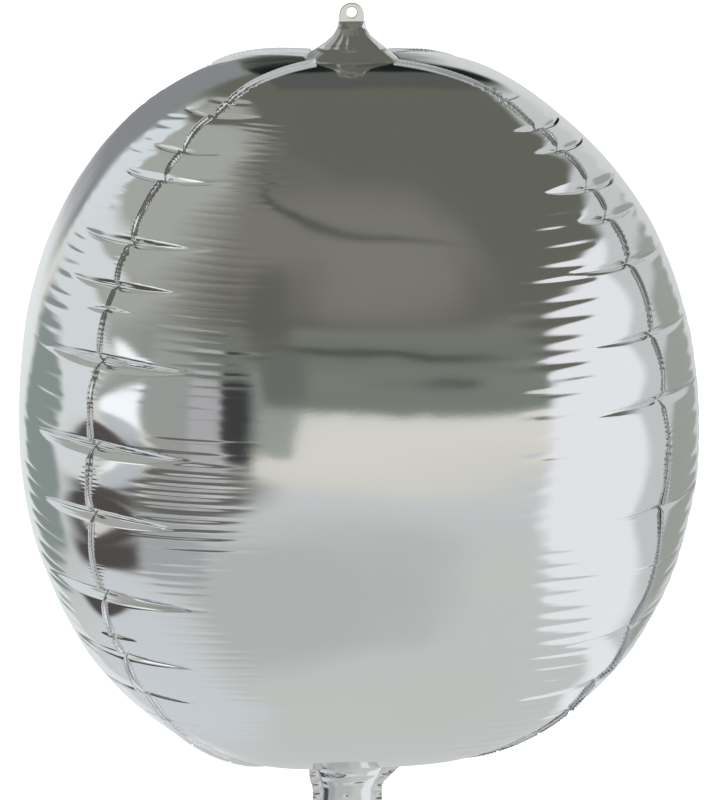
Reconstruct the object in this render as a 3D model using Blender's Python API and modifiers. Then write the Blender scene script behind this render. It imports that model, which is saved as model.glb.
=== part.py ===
"""Foil sphere balloon: four gores with sealed seams, a hang tab and an inflation neck.

Metres, +Z up. The front gore faces -Y. The origin is the centre of the hang tab's hole.
"""

import math

import bmesh
import bpy
from mathutils import Vector

# Body, measured over the film when the balloon is full
HALF_WIDTH = 0.192          # axis to the middle of a gore at the widest level
HEIGHT_ABOVE = 0.213        # widest level to the top of the dome
HEIGHT_BELOW = 0.210        # widest level to the bottom of the dome
FULLNESS_ABOVE = 2.12       # exponent of the upper profile, 2 is an ellipse
FULLNESS_BELOW = 2.04       # exponent of the lower profile
SQUARENESS = 3.0            # exponent of the widest cross-section, 2 is a circle
SQUARENESS_TOP = 4.0        # the same where the gores run up to the tab
SQUARENESS_BOTTOM = 3.4     # the same where they run down to the neck
TOP_HOLLOW = 0.0072         # how far the film sinks round the tab
TOP_HOLLOW_REACH = 0.090
BOTTOM_HOLLOW = 0.0065      # the same round the neck
BOTTOM_HOLLOW_REACH = 0.085
WALL = 0.0014               # stand-in for the film's thickness

# Seams between the gores
GORE_HALF_ANGLE = math.radians(45)
SEAM_WIDTH = 0.0046         # sealed strip that stands proud of the gores
SEAM_THICK = 0.0006
GAP = 0.0003                # clearance between neighbouring pieces

# Puckers, where the seam's spare length folds in, and the scallops between them
PUCKER_HALF_ANGLE = math.radians(1.7)   # half of a pucker's height at its seam
PUCKER_FADE = 1.5                       # how its depth falls away from the seam
SCALLOP = 0.0030                        # bulge of the film midway between two puckers
SCALLOP_REACH = 0.040

# Hang tab and the gathered film under it
TAB_RING = 0.0255           # radius where the gores end under the tab
TAB_HALF_WIDTH = 0.0070
TAB_THICK = 0.0016
TAB_HEIGHT = 0.0105         # fold line to the tip
TAB_HOLE_RADIUS = 0.0032
TAB_HOLE_RISE = 0.0049      # fold line to the hole's centre
GATHER_RISE = 0.0202        # gores' end to the fold line
GATHER_WALL = 0.0012

# Inflation neck
NECK_RING = 0.0210          # radius where the gores end over the neck
NECK_HALF_WIDTH = 0.0150
NECK_BOW = 0.0060           # how far each ply bows out from the flat
NECK_LENGTH = 0.0800
NECK_WALL = 0.0008
NECK_SEAL_WIDTH = 0.0050
VALVE_HALF_ANGLE = math.radians(42)
VALVE_THICK = 0.0005
VALVE_SHORTFALL = 0.0100    # valve film's end to the neck's mouth

# Facets
GORE_COLUMNS = 10
COLUMN_CROWDING = 1.6       # above 1 the columns stand closer by the seams
END_ROWS = 4                # rows from a ring to the first pucker
NECK_COLUMNS = 12
HOLE_FACETS = 24

# Gathered film under the tab: (rise, half width, half depth) as shares, squareness
GATHER_SECTIONS = (
    (0.00, 1.000, 1.00, 3.9),
    (0.10, 0.920, 0.84, 3.4),
    (0.21, 0.820, 0.66, 3.0),
    (0.40, 0.635, 0.40, 2.5),
    (0.61, 0.425, 0.18, 2.2),
    (0.82, 0.310, 0.08, 2.0),
    (1.00, 0.290, 0.04, 2.0),
)

# Neck from its root: (drop, half width, bow) in metres, squareness
NECK_SECTIONS = (
    (0.0000, 0.0207, 0.0200, 3.3),
    (0.0020, 0.0208, 0.0160, 2.8),
    (0.0080, 0.0210, 0.0110, 2.3),
    (0.0190, 0.0200, 0.0080, 2.0),
    (0.0320, NECK_HALF_WIDTH, 0.0066, 2.0),
    (0.0500, NECK_HALF_WIDTH, NECK_BOW, 2.0),
    (NECK_LENGTH, NECK_HALF_WIDTH, NECK_BOW, 2.0),
)

# Gores: (name, azimuth of the middle, seam on its left, seam on its right), seen from outside
GORES = (
    ("gore_front", 0.0, "front_left", "front_right"),
    ("gore_right", math.radians(90), "front_right", "back_right"),
    ("gore_back", math.radians(180), "back_right", "back_left"),
    ("gore_left", math.radians(270), "back_left", "front_left"),
)

# Azimuths of the seams
SEAMS = {
    "front_right": math.radians(45),
    "back_right": math.radians(135),
    "back_left": math.radians(225),
    "front_left": math.radians(315),
}

# Puckers from the top down: polar angle in degrees at each seam, depth and reach in metres
PUCKER_COLUMNS = ("front_left", "front_right", "back_right", "back_left", "depth", "reach")
PUCKERS = (
    (37.6, 38.5, 37.0, 39.0, 0.0040, 0.030),
    (43.2, 46.0, 45.0, 46.5, 0.0055, 0.036),
    (54.3, 51.5, 53.5, 54.5, 0.0055, 0.042),
    (61.2, 59.2, 62.0, 61.5, 0.0055, 0.044),
    (72.2, 70.2, 71.5, 70.0, 0.0065, 0.050),
    (84.1, 79.7, 82.5, 80.5, 0.0065, 0.052),
    (93.1, 94.6, 92.0, 93.5, 0.0065, 0.050),
    (105.6, 103.6, 104.5, 102.5, 0.0065, 0.052),
    (117.1, 114.9, 114.0, 115.5, 0.0060, 0.046),
    (125.7, 126.5, 124.5, 125.0, 0.0050, 0.040),
    (132.6, 134.5, 133.5, 132.0, 0.0040, 0.032),
)

FOIL = {"color": (0.80, 0.80, 0.81), "roughness": 0.12, "metallic": 1.0}
VALVE_FILM = {"color": (0.86, 0.88, 0.90), "roughness": 0.35, "metallic": 0.0}


def profile(polar):
    """Radius and height over the widest level at a polar angle from the top."""
    if polar <= math.pi / 2:
        fullness, height = FULLNESS_ABOVE, HEIGHT_ABOVE
        hollow, hollow_reach = TOP_HOLLOW, TOP_HOLLOW_REACH
    else:
        fullness, height = FULLNESS_BELOW, -HEIGHT_BELOW
        hollow, hollow_reach = -BOTTOM_HOLLOW, BOTTOM_HOLLOW_REACH
    radius = HALF_WIDTH * math.sin(polar) ** (2 / fullness)
    sunk = hollow * max(0.0, 1 - (radius / hollow_reach) ** 2) ** 2
    return radius, height * abs(math.cos(polar)) ** (2 / fullness) - sunk


def polar_at(radius, fullness):
    """Polar angle, from the nearer pole, where the profile has this radius."""
    return math.asin((radius / HALF_WIDTH) ** (fullness / 2))


POLAR_TOP = polar_at(TAB_RING, FULLNESS_ABOVE)
POLAR_BOTTOM = math.pi - polar_at(NECK_RING, FULLNESS_BELOW)
TOP_RING_RISE = profile(POLAR_TOP)[1]
BOTTOM_RING_RISE = profile(POLAR_BOTTOM)[1]
CENTRE_Z = -(TOP_RING_RISE + GATHER_RISE + TAB_HOLE_RISE)


def rounded_square(angle, exponent):
    """How much further out such a section is at an angle than at its sides' middles."""
    total = abs(math.cos(angle)) ** exponent + abs(math.sin(angle)) ** exponent
    return total ** (-1 / exponent)


def body_exponent(polar):
    """Exponent of the body's cross-section at a polar angle from the top."""
    pole = SQUARENESS_TOP if polar <= math.pi / 2 else SQUARENESS_BOTTOM
    return SQUARENESS + (pole - SQUARENESS) * math.cos(polar) ** 2


def body_point(azimuth, polar, inset=0.0):
    """Point of the smooth body, azimuth from -Y towards +X, moved in by inset."""
    radius, rise = profile(polar)
    reach = radius * rounded_square(azimuth, body_exponent(polar))
    point = Vector((reach * math.sin(azimuth), -reach * math.cos(azimuth), rise))
    point -= point.normalized() * inset
    return point + Vector((0, 0, CENTRE_Z))


def body_normal(azimuth, polar):
    """Outward normal of the film."""
    step = 0.002
    across = body_point(azimuth + step, polar) - body_point(azimuth - step, polar)
    upward = body_point(azimuth, polar - step) - body_point(azimuth, polar + step)
    return across.cross(upward).normalized()


def valleys(seam):
    """Polar angles of a seam's puckers, from the top down."""
    column = PUCKER_COLUMNS.index(seam)
    return [math.radians(row[column]) for row in PUCKERS]


def evenly(start, end, steps):
    """Values from start towards end, without end itself."""
    return [start + (end - start) * step / steps for step in range(steps)]


def seam_rows(seam):
    """Polar angles, from the bottom up, at which the mesh rows meet a seam."""
    folds = valleys(seam)
    rows = evenly(POLAR_TOP, folds[0] - PUCKER_HALF_ANGLE, END_ROWS)
    for fold, following in zip(folds, folds[1:] + [None]):
        rows += [fold - PUCKER_HALF_ANGLE, fold, fold + PUCKER_HALF_ANGLE]
        if following:
            rows.append((fold + following) / 2)
    rows += evenly(POLAR_BOTTOM, rows[-1], END_ROWS)[::-1]
    return rows[::-1]


def relief(seam, polar, distance):
    """How far the film lies in from the smooth body, below zero where it bulges out."""
    folds = valleys(seam)
    depth_column = PUCKER_COLUMNS.index("depth")
    reach_column = PUCKER_COLUMNS.index("reach")
    total = 0.0
    for fold, row in zip(folds, PUCKERS):
        closeness = max(0.0, 1 - abs(polar - fold) / PUCKER_HALF_ANGLE)
        fade = max(0.0, 1 - (distance / row[reach_column]) ** PUCKER_FADE)
        total += row[depth_column] * closeness * fade
    fade = max(0.0, 1 - distance / SCALLOP_REACH) ** 2
    for upper, lower in zip(folds, folds[1:]):
        if upper < polar < lower:
            total -= SCALLOP * fade * math.sin(math.pi * (polar - upper) / (lower - upper))
    return total


def material(name, finish):
    """Principled material with the piece's colour, roughness and metallic value."""
    made = bpy.data.materials.new(name)
    made.use_nodes = True
    shader = made.node_tree.nodes["Principled BSDF"]
    shader.inputs["Base Color"].default_value = (*finish["color"], 1)
    shader.inputs["Roughness"].default_value = finish["roughness"]
    shader.inputs["Metallic"].default_value = finish["metallic"]
    return made


def place(obj, name, collection, finish=None):
    """Name an object, move it to its collection and give it a material."""
    obj.name = name
    obj.data.name = name
    for old in list(obj.users_collection):
        old.objects.unlink(obj)
    collection.objects.link(obj)
    if finish:
        obj.data.materials.append(material(name, finish))
    return obj


def sheet(name, columns, rows, shape, collection, finish):
    """Grid laid on a surface: shape(across, up) takes shares from 0 to 1."""
    bpy.ops.mesh.primitive_grid_add(x_subdivisions=columns, y_subdivisions=rows, size=1)
    obj = bpy.context.active_object
    for vertex in obj.data.vertices:
        vertex.co = shape(vertex.co.x + 0.5, vertex.co.y + 0.5)
    obj.data.shade_smooth()
    return place(obj, name, collection, finish)


def thicken(obj, thickness, offset):
    """Turn an open surface into a wall; offset 1 is outwards, -1 inwards."""
    wall = obj.modifiers.new("wall", "SOLIDIFY")
    wall.thickness = thickness
    wall.offset = offset
    wall.use_even_offset = True


def make_gore(name, middle, left_seam, right_seam, collection):
    """One gore of film, from the neck's ring up to the tab's ring."""
    left_rows = seam_rows(left_seam)
    right_rows = seam_rows(right_seam)
    last = len(left_rows) - 1

    def shape(across, up):
        row = round(up * last)
        side = 2 * across - 1
        spread = math.copysign(1 - (1 - abs(side)) ** COLUMN_CROWDING, side)
        share = (spread + 1) / 2
        polar = left_rows[row] * (1 - share) + right_rows[row] * share
        seam_radius = profile(polar)[0] * rounded_square(GORE_HALF_ANGLE, body_exponent(polar))
        half = GORE_HALF_ANGLE - (SEAM_THICK / 2 + GAP) / seam_radius
        azimuth = middle + half * spread
        distance = half * (1 - abs(spread)) * seam_radius
        inward = relief(left_seam if side < 0 else right_seam, polar, distance)
        return body_point(azimuth, polar, WALL) - body_normal(azimuth, polar) * inward

    gore = sheet(name, GORE_COLUMNS, last, shape, collection, FOIL)
    thicken(gore, WALL, 1)


def make_seam(seam, azimuth, collection):
    """Sealed strip that stands out between two gores and follows their puckers."""
    rows = seam_rows(seam)
    last = len(rows) - 1

    def shape(across, up):
        polar = rows[round(up * last)]
        proud = across * (SEAM_WIDTH + WALL) - WALL - relief(seam, polar, 0.0)
        return body_point(azimuth, polar) + body_normal(azimuth, polar) * proud

    strip = sheet("seam_" + seam, 1, last, shape, collection, FOIL)
    thicken(strip, SEAM_THICK, 0)


def gather_solid(name, inset, drop, collection):
    """Closed loft of the gathered film, from its wide base to the fold line."""
    mesh = bmesh.new()
    base = CENTRE_Z + TOP_RING_RISE
    facets = 32
    rings = []
    for rise, width, depth, squareness in GATHER_SECTIONS:
        half_x = (TAB_RING - GAP) * width - inset
        half_y = (TAB_RING - GAP) * depth - inset
        level = base + GATHER_RISE * rise
        if rise == 0:
            level -= drop
        if rise == 1 and inset:
            level -= inset
        ring = []
        for step in range(facets):
            angle = 2 * math.pi * step / facets
            reach = rounded_square(angle, squareness)
            x = reach * half_x * math.cos(angle)
            y = reach * max(half_y, 0.0002) * math.sin(angle)
            ring.append(mesh.verts.new((x, y, level)))
        rings.append(ring)
    mesh.faces.new(list(reversed(rings[0])))
    mesh.faces.new(rings[-1])
    for lower, upper in zip(rings, rings[1:]):
        for step in range(facets):
            after = (step + 1) % facets
            mesh.faces.new((lower[step], lower[after], upper[after], upper[step]))
    data = bpy.data.meshes.new(name)
    mesh.to_mesh(data)
    mesh.free()
    obj = bpy.data.objects.new(name, data)
    collection.objects.link(obj)
    return obj


def combine(obj, other, operation):
    """Join to or cut from an object with another one."""
    change = obj.modifiers.new(operation.lower(), "BOOLEAN")
    change.operation = operation
    change.solver = "EXACT"
    change.object = other
    other.hide_render = True
    other.display_type = "WIRE"


def make_tab(collection, cutters):
    """Hang tab with its punched hole, and the film gathered up to it."""
    tab = gather_solid("hang_tab", 0.0, 0.0, collection)
    tab.data.materials.append(material("hang_tab", FOIL))

    hollow = gather_solid("gather_hollow", GATHER_WALL, 0.002, cutters)
    combine(tab, hollow, "DIFFERENCE")

    fold = -TAB_HOLE_RISE
    straight = TAB_HEIGHT - TAB_HALF_WIDTH
    root = 0.0040
    outline = bpy.data.curves.new("tab_plate", "CURVE")
    outline.dimensions = "2D"
    outline.fill_mode = "BOTH"
    outline.extrude = TAB_THICK / 2
    spline = outline.splines.new("POLY")
    corners = [(-TAB_HALF_WIDTH, fold - root), (TAB_HALF_WIDTH, fold - root)]
    arc_facets = 16
    for step in range(arc_facets + 1):
        angle = math.pi * step / arc_facets
        height = fold + straight + TAB_HALF_WIDTH * math.sin(angle)
        corners.append((TAB_HALF_WIDTH * math.cos(angle), height))
    spline.points.add(len(corners) - 1)
    for point, corner in zip(spline.points, corners):
        point.co = (*corner, 0, 1)
    spline.use_cyclic_u = True
    guide = bpy.data.objects.new("tab_outline", outline)
    cutters.objects.link(guide)
    guide.rotation_euler = (math.pi / 2, 0, 0)
    bpy.context.view_layer.update()
    evaluated = guide.evaluated_get(bpy.context.evaluated_depsgraph_get())
    data = bpy.data.meshes.new_from_object(evaluated)
    mesh = bmesh.new()
    mesh.from_mesh(data)
    bmesh.ops.remove_doubles(mesh, verts=mesh.verts, dist=0.00001)
    mesh.to_mesh(data)
    mesh.free()
    plate = bpy.data.objects.new("tab_plate", data)
    plate.matrix_world = guide.matrix_world
    cutters.objects.link(plate)
    bpy.data.objects.remove(guide)
    combine(tab, plate, "UNION")

    turn = (math.pi / 2, 0, 0)
    bpy.ops.mesh.primitive_cylinder_add(vertices=HOLE_FACETS, radius=TAB_HOLE_RADIUS,
                                        depth=0.01, rotation=turn)
    punch = place(bpy.context.active_object, "tab_punch", cutters)
    combine(tab, punch, "DIFFERENCE")


def neck_section(drop):
    """Half width, bow and squareness of the neck at a distance below the gores' end."""
    for upper, lower in zip(NECK_SECTIONS, NECK_SECTIONS[1:]):
        if drop <= lower[0]:
            share = (drop - upper[0]) / (lower[0] - upper[0])
            return [high + (low - high) * share for high, low in zip(upper[1:], lower[1:])]
    return NECK_SECTIONS[-1][1:]


def neck_levels(start=0.0, end=NECK_LENGTH):
    """Drops of the neck's rows: its sections, kept between start and end."""
    inside = [section[0] for section in NECK_SECTIONS if start < section[0] < end]
    return [start, *inside, end]


def neck_point(angle, drop, facing, inset=0.0):
    """Inner face of a neck ply at an angle from its left edge over its front."""
    half_width, bow, squareness = neck_section(drop)
    reach = rounded_square(angle, squareness)
    x = -reach * (half_width - inset) * math.cos(angle)
    y = -facing * (SEAM_THICK / 2 + GAP + reach * (bow - inset) * math.sin(angle))
    return Vector((x, y, CENTRE_Z + BOTTOM_RING_RISE - drop))


def make_neck_ply(name, facing, collection):
    """Front or back film of the neck."""
    levels = neck_levels(GAP)

    def shape(across, up):
        angle = math.pi * (across if facing > 0 else 1 - across)
        drop = levels[round((1 - up) * (len(levels) - 1))]
        return neck_point(angle, drop, facing)

    ply = sheet(name, NECK_COLUMNS, len(levels) - 1, shape, collection, FOIL)
    thicken(ply, NECK_WALL, 1)


def make_neck_seal(name, side, collection):
    """Flat strip where the two neck films are sealed together."""
    levels = neck_levels(0.0030)

    def shape(across, up):
        drop = levels[round((1 - up) * (len(levels) - 1))]
        half_width = neck_section(drop)[0]
        x = side * (half_width + across * (NECK_WALL + NECK_SEAL_WIDTH))
        return Vector((x, 0, CENTRE_Z + BOTTOM_RING_RISE - drop))

    seal = sheet(name, 1, len(levels) - 1, shape, collection, FOIL)
    thicken(seal, SEAM_THICK, 0)


def make_valve(collection):
    """Self-sealing valve film that lies along the back of the neck."""
    levels = neck_levels(0.0190, NECK_LENGTH - VALVE_SHORTFALL)

    def shape(across, up):
        angle = math.pi / 2 + VALVE_HALF_ANGLE * (1 - 2 * across)
        drop = levels[round((1 - up) * (len(levels) - 1))]
        return neck_point(angle, drop, -1, GAP + VALVE_THICK)

    valve = sheet("valve_film", NECK_COLUMNS, len(levels) - 1, shape, collection, VALVE_FILM)
    thicken(valve, VALVE_THICK, 1)


def main():
    """Clear the scene and build the balloon."""
    for old in list(bpy.data.objects):
        bpy.data.objects.remove(old)
    collection = bpy.data.collections.new("foil_balloon")
    cutters = bpy.data.collections.new("cutters")
    bpy.context.scene.collection.children.link(collection)
    bpy.context.scene.collection.children.link(cutters)

    for name, middle, left_seam, right_seam in GORES:
        make_gore(name, middle, left_seam, right_seam, collection)
    for seam, azimuth in SEAMS.items():
        make_seam(seam, azimuth, collection)
    make_tab(collection, cutters)
    make_neck_ply("neck_front_ply", 1, collection)
    make_neck_ply("neck_back_ply", -1, collection)
    make_neck_seal("neck_seal_right", 1, collection)
    make_neck_seal("neck_seal_left", -1, collection)
    make_valve(collection)


main()
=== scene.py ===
"""Looks of the foil sphere balloon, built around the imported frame.

Metres, +Z up. The front gore faces -Y, and the origin is the centre of the hang tab's hole.
Azimuths run from -Y towards +X, and polar angles run from the top of the body down.
"""

from __future__ import annotations

import logging
import math
from collections.abc import Callable, Iterable
from dataclasses import dataclass, field
from enum import Enum

import bpy
import numpy as np
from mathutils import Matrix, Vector


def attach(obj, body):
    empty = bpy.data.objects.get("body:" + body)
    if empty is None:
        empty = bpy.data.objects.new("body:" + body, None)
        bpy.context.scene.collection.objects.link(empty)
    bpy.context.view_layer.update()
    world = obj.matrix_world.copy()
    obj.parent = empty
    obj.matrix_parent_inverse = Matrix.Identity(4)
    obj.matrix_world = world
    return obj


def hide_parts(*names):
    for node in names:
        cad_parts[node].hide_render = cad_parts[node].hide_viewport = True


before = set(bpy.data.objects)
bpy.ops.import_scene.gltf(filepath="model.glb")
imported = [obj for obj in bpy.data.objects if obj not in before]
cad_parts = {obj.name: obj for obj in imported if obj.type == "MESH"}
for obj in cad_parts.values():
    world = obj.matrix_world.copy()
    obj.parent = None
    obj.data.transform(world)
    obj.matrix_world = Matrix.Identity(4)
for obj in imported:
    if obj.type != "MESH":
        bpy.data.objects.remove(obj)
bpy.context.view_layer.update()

LOG = logging.getLogger("foil_balloon")
BODY = "root"
MM = 0.001
ARC = 0.213                 # metres of film along a gore for a radian of polar angle
PHOTO_SIZE = (708, 800)

Points = np.ndarray
Colour = tuple[float, float, float]


class Seam(Enum):
    """The four seams, by the azimuth at which each runs down the body."""

    FRONT_RIGHT = 45.0
    BACK_RIGHT = 135.0
    BACK_LEFT = 225.0
    FRONT_LEFT = 315.0

    @property
    def azimuth(self) -> float:
        """Azimuth in radians."""
        return math.radians(self.value)

    @property
    def node(self) -> str:
        """Name of the seam's CAD node."""
        return "seam_" + self.name.lower()


class Side(Enum):
    """The two sides of a seam, seen from outside."""

    LEFT = "left"
    RIGHT = "right"


class Slot(Enum):
    """Material slots of the record."""

    FOIL = "foil"
    SEAL = "seal"
    VALVE = "valve"


# Nodes

class NodeSheet:
    """A node tree with short ways to add and join nodes."""

    def __init__(self, tree: bpy.types.NodeTree) -> None:
        """Wrap a node tree.

        Args:
            tree: The tree to add nodes to.
        """
        self.tree = tree
        self.links = tree.links
        self.material: bpy.types.Material | None = None

    @classmethod
    def for_material(cls, name: str) -> NodeSheet:
        """Make a material and wrap its tree.

        Args:
            name: The material's name.

        Returns:
            The sheet, with its material.
        """
        material = bpy.data.materials.new(name)
        material.use_nodes = True
        sheet = cls(material.node_tree)
        sheet.material = material
        return sheet

    @property
    def shader(self) -> bpy.types.Node:
        """The tree's Principled shader."""
        return self.tree.nodes["Principled BSDF"]

    def add(self, kind: str, data_type: str | None = None, **values: float) -> bpy.types.Node:
        """Add a node and set its inputs.

        Args:
            kind: The node's type.
            data_type: Its data type, where it has one.
            **values: Inputs to set, by name.

        Returns:
            The new node.
        """
        node = self.tree.nodes.new(kind)
        if data_type:
            node.data_type = data_type
        for name, value in values.items():
            node.inputs[name].default_value = value
        return node

    def join(self, source: bpy.types.Node, output: str,
             target: bpy.types.Node, socket: str) -> None:
        """Link one node's output to another node's input.

        Args:
            source: The node that gives the value.
            output: Name of its output.
            target: The node that takes it.
            socket: Name of its input.
        """
        self.links.new(source.outputs[output], target.inputs[socket])

    def sum(self, operation: str, *values: bpy.types.NodeSocket | float) -> bpy.types.NodeSocket:
        """Add a Math node.

        Args:
            operation: Its operation.
            *values: Its inputs, as sockets or numbers.

        Returns:
            Its result.
        """
        node = self.tree.nodes.new("ShaderNodeMath")
        node.operation = operation
        for plug, value in zip(node.inputs, values):
            if isinstance(value, bpy.types.NodeSocket):
                self.links.new(value, plug)
            else:
                plug.default_value = value
        return node.outputs[0]

    @staticmethod
    def colour_input(mix: bpy.types.Node, socket: str) -> bpy.types.NodeSocket:
        """Colour input of a Mix node, "A" or "B"."""
        return next(plug for plug in mix.inputs if plug.name == socket and plug.type == "RGBA")

    @staticmethod
    def colour_output(mix: bpy.types.Node) -> bpy.types.NodeSocket:
        """Colour result of a Mix node."""
        return next(plug for plug in mix.outputs if plug.type == "RGBA")


# Finishes

class Relief(Enum):
    """Kinds of fine relief, by the texture node that makes them."""

    GRAIN = "ShaderNodeTexNoise"
    CELLS = "ShaderNodeTexVoronoi"


@dataclass(frozen=True)
class Finish:
    """A film's surface: two tones and two gloss values in clouds, a fine relief and a swell."""

    name: str
    light: Colour
    dark: Colour
    roughness: tuple[float, float]
    cloud_scale: float
    relief: Relief
    relief_scale: float
    relief_height: float
    relief_strength: float
    swell_scale: float = 0.0
    swell_height: float = 0.0
    metallic: float = 1.0
    transmission: float = 0.0
    ior: float = 1.45

    def build(self) -> bpy.types.Material:
        """Make the material.

        Returns:
            The new material.
        """
        nodes = NodeSheet.for_material(self.name)
        shader = nodes.shader
        place = nodes.add("ShaderNodeTexCoord")
        cloud = nodes.add("ShaderNodeTexNoise", Scale=self.cloud_scale, Detail=4.0)
        nodes.join(place, "Object", cloud, "Vector")
        tone = nodes.add("ShaderNodeMix", data_type="RGBA")
        nodes.colour_input(tone, "A").default_value = (*self.dark, 1)
        nodes.colour_input(tone, "B").default_value = (*self.light, 1)
        nodes.links.new(cloud.outputs["Fac"], tone.inputs[0])
        nodes.links.new(nodes.colour_output(tone), shader.inputs["Base Color"])
        gloss = nodes.add("ShaderNodeMapRange")
        gloss.inputs["To Min"].default_value = self.roughness[0]
        gloss.inputs["To Max"].default_value = self.roughness[1]
        nodes.join(cloud, "Fac", gloss, "Value")
        nodes.join(gloss, "Result", shader, "Roughness")
        relief = nodes.add(self.relief.value, Scale=self.relief_scale)
        nodes.join(place, "Object", relief, "Vector")
        bump = nodes.add("ShaderNodeBump", Strength=self.relief_strength,
                         Distance=self.relief_height)
        nodes.links.new(relief.outputs[0], bump.inputs["Height"])
        if self.swell_scale:
            wave = nodes.add("ShaderNodeTexNoise", Scale=self.swell_scale, Detail=1.0)
            nodes.join(place, "Object", wave, "Vector")
            swell = nodes.add("ShaderNodeBump", Strength=1.0, Distance=self.swell_height)
            nodes.join(wave, "Fac", swell, "Height")
            nodes.join(swell, "Normal", bump, "Normal")
        nodes.join(bump, "Normal", shader, "Normal")
        shader.inputs["Metallic"].default_value = self.metallic
        shader.inputs["Transmission Weight"].default_value = self.transmission
        shader.inputs["IOR"].default_value = self.ior
        return nodes.material


FOIL = Finish(
    name="mirror_foil",
    light=(0.86, 0.87, 0.875),
    dark=(0.83, 0.84, 0.84),
    roughness=(0.070, 0.115),
    cloud_scale=9.0,
    relief=Relief.GRAIN,
    relief_scale=520.0,
    relief_height=0.00004,
    relief_strength=0.16,
    swell_scale=34.0,
    swell_height=0.00016,
)
SEAL = Finish(
    name="crimped_seal",
    light=(0.89, 0.89, 0.90),
    dark=(0.78, 0.79, 0.80),
    roughness=(0.07, 0.17),
    cloud_scale=260.0,
    relief=Relief.CELLS,
    relief_scale=900.0,
    relief_height=0.00008,
    relief_strength=0.20,
)
VALVE = Finish(
    name="valve_film",
    light=(0.93, 0.95, 0.96),
    dark=(0.84, 0.87, 0.90),
    roughness=(0.12, 0.30),
    cloud_scale=160.0,
    relief=Relief.GRAIN,
    relief_scale=160.0,
    relief_height=0.0002,
    relief_strength=0.25,
    metallic=0.0,
    transmission=0.75,
    ior=1.2,
)


# Mesh helpers

def deselect() -> None:
    """Deselect every object, because operators act on all that is selected."""
    bpy.ops.object.select_all(action="DESELECT")


def pick(*pieces: bpy.types.Object) -> None:
    """Select these objects alone and make the first one active."""
    deselect()
    for piece in pieces:
        piece.select_set(True)
    bpy.context.view_layer.objects.active = pieces[0]


def apply_modifier(piece: bpy.types.Object, kind: str, **settings: object) -> None:
    """Add a modifier, set it and apply it.

    Args:
        piece: The object.
        kind: The modifier's type.
        **settings: Its settings, by name.
    """
    modifier = piece.modifiers.new(kind.lower(), kind)
    for name, value in settings.items():
        setattr(modifier, name, value)
    pick(piece)
    bpy.ops.object.modifier_apply(modifier=modifier.name)


def film_grid(name: str, columns: int, rows: int,
              shape: Callable[[Points, Points], Points]) -> bpy.types.Object:
    """Lay a grid on a surface, as a sheet of film.

    Args:
        name: The piece's name.
        columns: Faces across.
        rows: Faces up.
        shape: Takes arrays of column and row numbers and gives an array of points.

    Returns:
        The new object, at the origin.
    """
    deselect()
    bpy.ops.mesh.primitive_grid_add(x_subdivisions=columns, y_subdivisions=rows, size=1)
    piece = bpy.context.active_object
    piece.name = name
    piece.data.name = name
    flat = np.empty(len(piece.data.vertices) * 3, np.float32)
    piece.data.vertices.foreach_get("co", flat)
    flat = flat.reshape(-1, 3)
    across = np.rint((flat[:, 0].astype(float) + 0.5) * columns)
    up = np.rint((flat[:, 1].astype(float) + 0.5) * rows)
    piece.data.vertices.foreach_set("co", shape(across, up).astype(np.float32).ravel())
    piece.data.update()
    piece.data.shade_smooth()
    return piece


def flow(value: Points, knots: Iterable[float], heights: Iterable[float], blur: float) -> Points:
    """Interpolate between knots with rounded corners.

    Args:
        value: Where to read.
        knots: Places of the knots, rising.
        heights: Their values.
        blur: Half the distance over which a corner is rounded.

    Returns:
        The values read.
    """
    shifts = np.linspace(-blur, blur, 7)
    reads = [np.interp(value + shift, tuple(knots), tuple(heights)) for shift in shifts]
    return sum(reads) / len(reads)


def hump(value: Points, centre: float, half: float) -> Points:
    """Smooth bump: 1 at its centre and 0 from half a width away."""
    share = np.clip(np.abs(value - centre) / half, 0, 1)
    return np.cos(share * math.pi / 2) ** 2


def zigzag(turn: Points) -> Points:
    """Triangle wave: 0.5 at whole turns and -0.5 halfway between them."""
    return np.abs((turn % 1.0) * 2 - 1) - 0.5


def rounded_square(angle: Points, power: Points) -> Points:
    """Reach of a rounded square one wide on either side: a circle at power 2, then squarer."""
    total = np.abs(np.cos(angle)) ** power + np.abs(np.sin(angle)) ** power
    return total ** (-1 / power)


def dress(piece: bpy.types.Object, finish: bpy.types.Material, slot: Slot,
          *nodes: str) -> bpy.types.Object:
    """Give a finished piece its material and its body, and hide the CAD nodes that it replaces.

    Args:
        piece: The finished piece.
        finish: Its material.
        slot: Not used.
        *nodes: CAD nodes that it replaces.

    Returns:
        The same piece.
    """
    piece.data.materials.clear()
    piece.data.materials.append(finish)
    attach(piece, BODY)
    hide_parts(*nodes)
    LOG.info("%s: %d faces", piece.name, len(piece.data.polygons))
    return piece


# Body

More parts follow.
